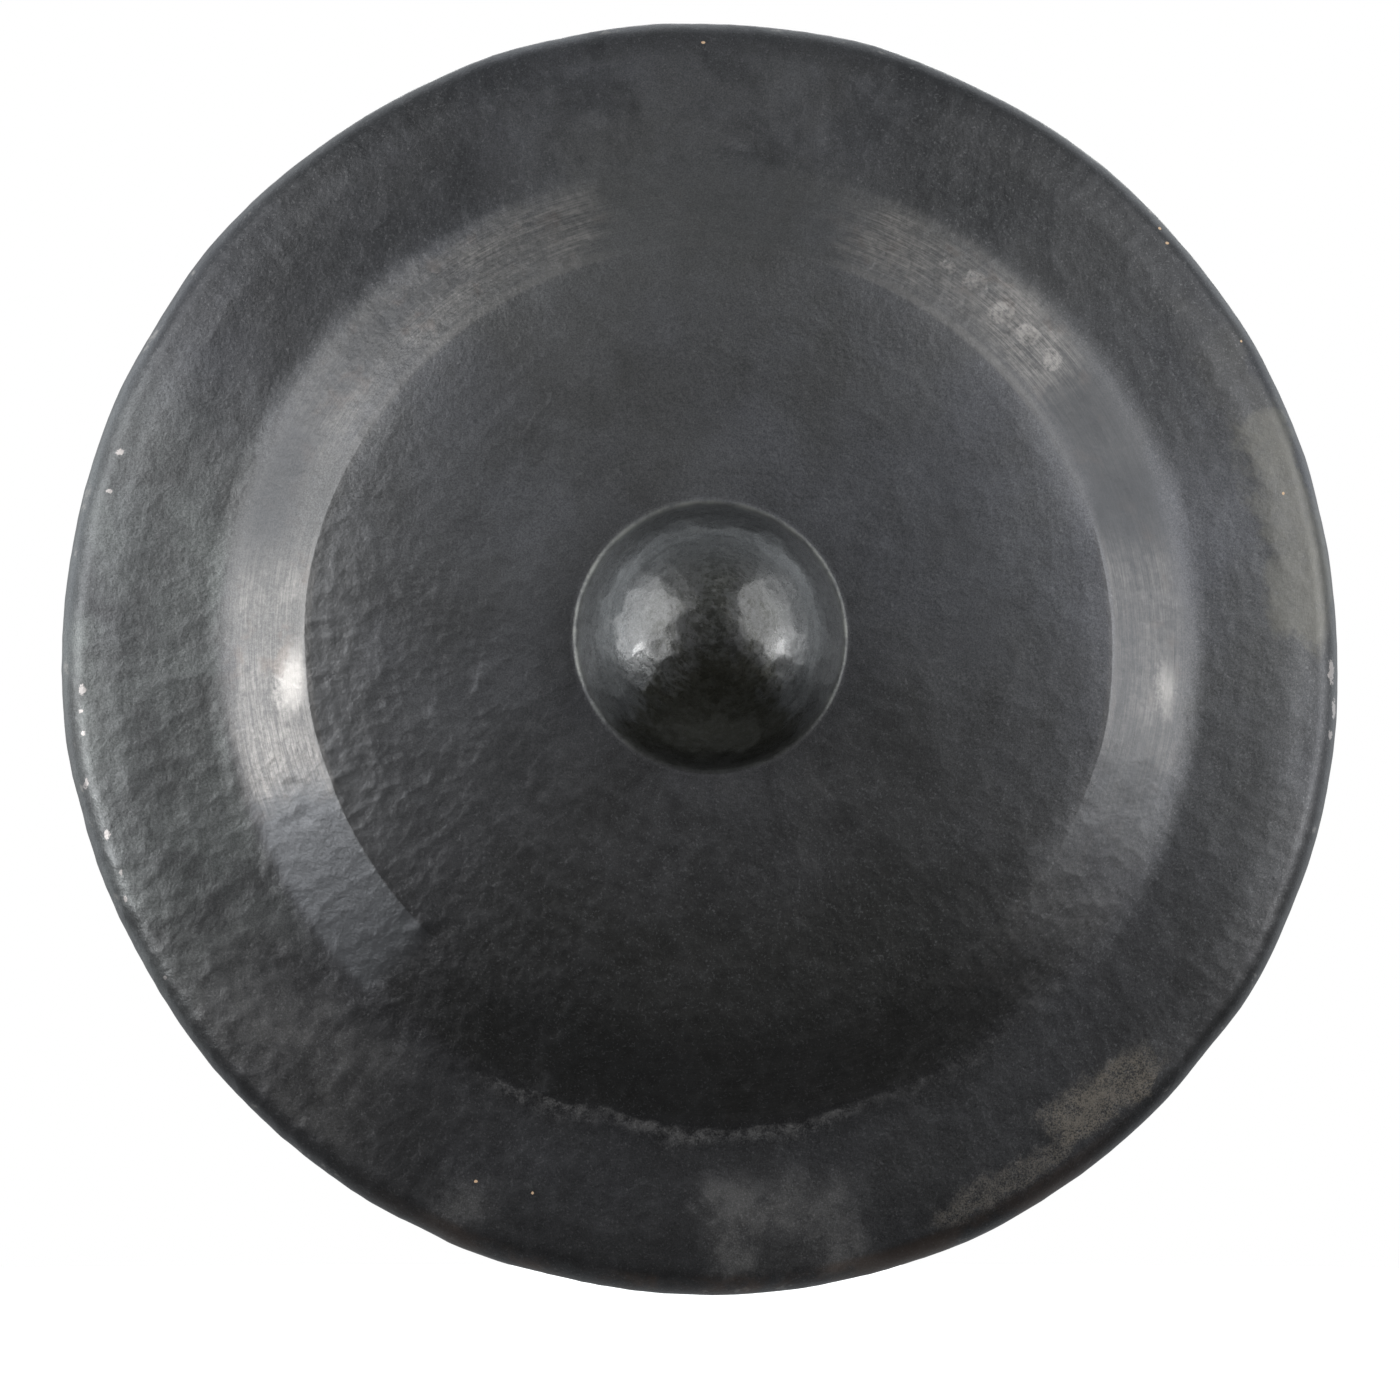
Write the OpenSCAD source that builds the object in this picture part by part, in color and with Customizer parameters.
// Bossed tam tam gong: one forged bronze shell and its hanging cord.
// The gong hangs upright (+Z up) with its face towards -Y. Its axis is the Y axis.
// The origin is on that axis, in the plane of the rim's rear lip. Millimetres.

/* [Gong] */
// Outer diameter, measured over the rolled edge
gong_d = 900; // [800:10:1000]
// Thickness of the forged bronze
wall = 4.5; // [4:0.1:5]
// Depth from the face plane back to the lip
gong_depth = 158; // [150:1:170]

/* [Boss] */
// Radius of the boss where it meets the face
boss_r = 93; // [80:1:105]
// Steepness of the boss wall at its foot, in degrees
boss_wall_angle = 66; // [55:1:70]
// Radius of the hollow where the boss meets the face
boss_foot_fillet = 4.5; // [3.5:0.1:4.5]

/* [Face and step] */
// Radius of the crease where the face ends
crease_r = 279; // [270:1:285]
// Fall of the face next to the crease, in degrees
face_fall = 6; // [4:0.5:7]
// Slope of the step outside the crease, in degrees
step_angle = 24; // [20:1:28]
// Radius at which the step meets the border
step_foot_r = 338; // [330:1:345]
// Slope of the border, in degrees
border_angle = 3.5; // [2:0.5:5]

/* [Rim] */
// Radius of the rolled edge
roll_r = 22; // [18:1:24]
// How far the turned-back rim leans in, in degrees
rim_taper = 13; // [12:0.5:14]
// Thickness of the lip
lip_t = 7; // [6:0.5:9]

/* [Hanging cord] */
// Distance between the two legs of the cord
leg_gap = 160; // [150:2:170]
// Distance of the cord holes in front of the lip
hole_set_back = 50; // [40:1:55]
// Diameter of the cord holes in the bronze
hole_d = 18; // [17.5:0.5:18.5]
// Diameter of the cord
cord_d = 8; // [7:0.5:8]
// Height by which the cord can be drawn up out of the rim
draw_up = 180; // [100:5:200]

/* [Hidden] */

bronze = "#35373a";
rubber = "#1a1a1b";
hemp = "#a58b62";
thread = "#4a3322";

// ---- A polyline with rounded corners ----
function unit(v) = v / norm(v);
function left_normal(v) = [-v.y, v.x];
function turn_angle(a, b) = atan2(a.x * b.y - a.y * b.x, a * b);

// points of the arc that rounds a corner; a sharp or straight corner stays one point
function corner_arc(before, corner, after, radius, segments) =
    let(heading = unit(corner - before),
        bend = turn_angle(heading, unit(after - corner)))
    abs(bend) < 0.01 || radius <= 0 ? [corner] :
    let(to_centre = sign(bend) * radius * left_normal(heading),
        centre = corner - heading * (radius * tan(abs(bend) / 2)) + to_centre,
        spoke = -to_centre)
    [for (i = [0:segments])
        let(w = bend * i / segments)
        centre + spoke * cos(w) + left_normal(spoke) * sin(w)];

// each corner is [point, radius, arc segments]; the outline is closed
function rounded(corners) =
    let(count = len(corners))
    [for (i = [0:count - 1])
        let(c = corners[i],
            before = corners[(i + count - 1) % count][0],
            after = corners[(i + 1) % count][0])
        each corner_arc(before, c[0], after, c[1], c[2])];

// ---- Generating section, as [radius, depth behind the face plane] ----
boss_foot_straight = 0.4; // added to the fillet's length on the boss wall
face_lean = 0.4;          // slope of the face next to the boss, in degrees
face_fall_share = 232 / 279; // where the fall begins, as a share of crease_r
border_inset = 38;        // from the outer diameter in to the border's outer end
edge_angle = 9;           // slope between the border and the roll, in degrees
lip_taper_len = 16;       // depth over which the rim thickens to the lip
lip_round = 1.5;
lip_blend_r = 10;         // where the thickening starts, inside the rim

// the boss is a cap of a sphere that ends in a short straight wall
boss_foot_len = boss_foot_fillet * tan(boss_wall_angle / 2) + boss_foot_straight;
boss_sphere_r = (boss_r - boss_foot_len * cos(boss_wall_angle)) / sin(boss_wall_angle);
boss_h = boss_sphere_r * (1 - cos(boss_wall_angle)) + boss_foot_len * sin(boss_wall_angle);

face_fall_r = crease_r * face_fall_share;
border_end_r = gong_d / 2 - border_inset;
rim_angle = 90 + rim_taper;

// the roll is placed so that its widest circle has the gong's diameter
roll_start_r = gong_d / 2 - roll_r + roll_r * sin(edge_angle);
roll_corner_r = roll_start_r + roll_r * tan((rim_angle - edge_angle) / 2) * cos(edge_angle);

// depths of the front surface's corners
fall_depth = (face_fall_r - boss_r) * tan(face_lean);
crease_depth = fall_depth + (crease_r - face_fall_r) * tan(face_fall);
step_foot_depth = crease_depth + (step_foot_r - crease_r) * tan(step_angle);
border_end_depth = step_foot_depth + (border_end_r - step_foot_r) * tan(border_angle);
roll_depth = border_end_depth + (roll_corner_r - border_end_r) * tan(edge_angle);

// front surface from boss to roll: [corner, rounding radius, arc segments]
front = [[[boss_sphere_r * tan(boss_wall_angle / 2), -boss_h], boss_sphere_r, 28],
         [[boss_r, 0], boss_foot_fillet, 8],
         [[face_fall_r, fall_depth], 900, 10],
         [[crease_r, crease_depth], 3, 4],
         [[step_foot_r, step_foot_depth], 75, 12],
         [[border_end_r, border_end_depth], 180, 10],
         [[roll_corner_r, roll_depth], roll_r, 18]];
// slopes of the straights before, between and after those corners
slopes = [0, boss_wall_angle, face_lean, face_fall, step_angle, border_angle,
          edge_angle, rim_angle];
roll = len(front) - 1; // index of the roll, the last corner

// the rear surface runs parallel, one wall thickness behind
function slope_normal(i) = [-sin(slopes[i]), cos(slopes[i])];
function rear_corner(i) =
    let(a = slope_normal(i), b = slope_normal(i + 1))
    front[i][0] + wall * (a + b) / (1 + a * b);
function rear_radius(i) = slopes[i + 1] > slopes[i]
    ? max(front[i][1] - wall, 1) : front[i][1] + wall;

// radius at a depth on the rim line that runs back from a roll corner
function rim_r(corner, depth) = corner.x - (depth - corner.y) * tan(rim_taper);

lip_r = rim_r(front[roll][0], gong_depth);
lip_inner_r = lip_r - lip_t / cos(rim_taper);
lip_taper_depth = gong_depth - lip_taper_len;

section = rounded(concat(
    [[[0, -boss_h], 0, 1]],
    front,
    [[[lip_r, gong_depth], lip_round, 4],
     [[lip_inner_r, gong_depth], lip_round, 4],
     [[rim_r(rear_corner(roll), lip_taper_depth), lip_taper_depth], lip_blend_r, 4]],
    [for (i = [roll:-1:0]) [rear_corner(i), rear_radius(i), front[i][2]]],
    [[[0, wall - boss_h], 0, 1]]));

// ---- Cord holes and grommets ----
hole_r = rim_r(front[roll][0], gong_depth - hole_set_back);
// each leg crosses the middle of the wall at its hole
hole_angle = asin(leg_gap / 2 / (hole_r - wall / 2));
hole_cut_len = 40;

grommet_bore_r = hole_d / 2 - 2.5;
bore_chamfer = 0.8;
flange_r = 12.6;
flange_t = 1.75;
flange_chamfer = 0.6;
grommet_gap = 0.05;   // round the sleeve and under the outer flange
inner_flange_gap = 0.35; // under the inner flange

// ---- Cord path, in the plane of the holes ----
function tenth(v) = round(v * 10) / 10;

cord_r = cord_d / 2;
bridge_gap = 0.8; // between the rim and the cord that crosses above it
bridge_z = tenth(hole_r + cord_r * (tan(rim_taper) + 1 / cos(rim_taper)) + bridge_gap);
top_bend_r = tenth(cord_r + 9);
bottom_bend_r = 45;
top_bend_x = leg_gap / 2 - top_bend_r;
bottom_bend_x = leg_gap / 2 - bottom_bend_r;
leg_len = draw_up + 14;
leg_top_z = bridge_z - top_bend_r;
leg_bottom_z = leg_top_z - leg_len;
bottom_z = leg_bottom_z - bottom_bend_r;

// ---- Knot, tails and whippings ----
knot_half = 25; // half the knot's length
knot_turns = 4;
knot_groove_r = 8.5;
knot_bulge = 2.8;
bulge_steps = 8;
tail_len = 34; // beyond the knot
tail_overlap = 6; // inside the knot
tail_drop = 9.5; // below the cord's line
tail_d = cord_d - 0.2;
whipping_len = 10;
whipping_inset = 2; // from the tail's end
whipping_d = cord_d + 1.6;
whipping_bore = cord_d - 0.1;

// a place on the rim's outer surface, with +Z straight out of the bronze
module at_hole(side)
    rotate([0, side * hole_angle, 0])
        translate([0, -hole_set_back, hole_r])
            rotate([-rim_taper, 0, 0]) children();

module gong_shell()
    color(bronze) difference() {
        rotate([90, 0, 0])
            rotate_extrude($fn = 240)
                polygon([for (p = section) [max(p.x, 0), gong_depth - p.y]]);
        for (side = [-1, 1])
            at_hole(side)
                translate([0, 0, -hole_cut_len / 2])
                    cylinder(h = hole_cut_len, d = hole_d, $fn = 64);
    }

// a rubber grommet: a sleeve in the hole with a flange on each side
module grommet(side) {
    sleeve_r = hole_d / 2 - grommet_gap;
    inner_z = -wall - inner_flange_gap;
    top = grommet_gap + flange_t;
    bottom = inner_z - flange_t;
    color(rubber) at_hole(side)
        rotate_extrude($fn = 64)
            polygon([[grommet_bore_r + bore_chamfer, top],
                     [flange_r - flange_chamfer, top],
                     [flange_r, top - flange_chamfer],
                     [flange_r, grommet_gap],
                     [sleeve_r, grommet_gap],
                     [sleeve_r, inner_z],
                     [flange_r, inner_z],
                     [flange_r, bottom + flange_chamfer],
                     [flange_r - flange_chamfer, bottom],
                     [grommet_bore_r + bore_chamfer, bottom],
                     [grommet_bore_r, bottom + bore_chamfer],
                     [grommet_bore_r, top - bore_chamfer]]);
}

// a quarter turn of cord in the XZ plane about (x, z)
module cord_bend(x, z, radius, start_angle)
    translate([x, 0, z]) rotate([90, 0, 0]) rotate([0, 0, start_angle])
        rotate_extrude(angle = 90, $fn = 96)
            translate([radius, 0]) circle(d = cord_d, $fn = 32);

// a straight length of cord along X
module cord_run(from_x, to_x, z)
    translate([from_x, 0, z]) rotate([0, 90, 0])
        cylinder(h = to_x - from_x, d = cord_d, $fn = 32);

// a closed loop, but for the gap that the knot fills
module hanging_cord()
    color(hemp) translate([0, -hole_set_back, 0]) {
        cord_run(-top_bend_x, top_bend_x, bridge_z);
        cord_run(-bottom_bend_x, -knot_half, bottom_z);
        cord_run(knot_half, bottom_bend_x, bottom_z);
        for (side = [-1, 1]) {
            translate([side * leg_gap / 2, 0, leg_bottom_z])
                cylinder(h = leg_len, d = cord_d, $fn = 32);
            cord_bend(side * top_bend_x, leg_top_z, top_bend_r, side > 0 ? 0 : 90);
            cord_bend(side * bottom_bend_x, leg_bottom_z, bottom_bend_r,
                      side > 0 ? 270 : 180);
        }
    }

// the knot that joins the cord's two ends: a row of turns and two free tails
module joining_knot() {
    pitch = 2 * knot_half / knot_turns;
    color(hemp) translate([0, -hole_set_back, bottom_z]) {
        rotate([0, 90, 0])
            rotate_extrude($fn = 64)
                polygon([[0, -knot_half],
                         for (t = [0:knot_turns - 1], i = [0:bulge_steps])
                             [knot_groove_r + knot_bulge * sin(180 * i / bulge_steps),
                              -knot_half + pitch * (t + i / bulge_steps)],
                         [0, knot_half]]);
        for (side = [0, 1]) mirror([side, 0, 0])
            translate([knot_half - tail_overlap, 0, -tail_drop]) rotate([0, 90, 0])
                cylinder(h = tail_len + tail_overlap, d = tail_d, $fn = 32);
    }
}

// waxed thread wound round a tail, to stop it fraying
module whipping(side)
    color(thread)
        translate([side * (knot_half + tail_len - whipping_inset - whipping_len / 2),
                   -hole_set_back, bottom_z - tail_drop])
            rotate([0, 90, 0]) difference() {
                cylinder(h = whipping_len, d = whipping_d, center = true, $fn = 48);
                cylinder(h = whipping_len + 2, d = whipping_bore, center = true, $fn = 48);
            }

gong_shell();
grommet(-1);  // left_grommet
grommet(1);  // right_grommet
hanging_cord();
joining_knot();
whipping(-1);  // left_end_whipping
whipping(1);  // right_end_whipping
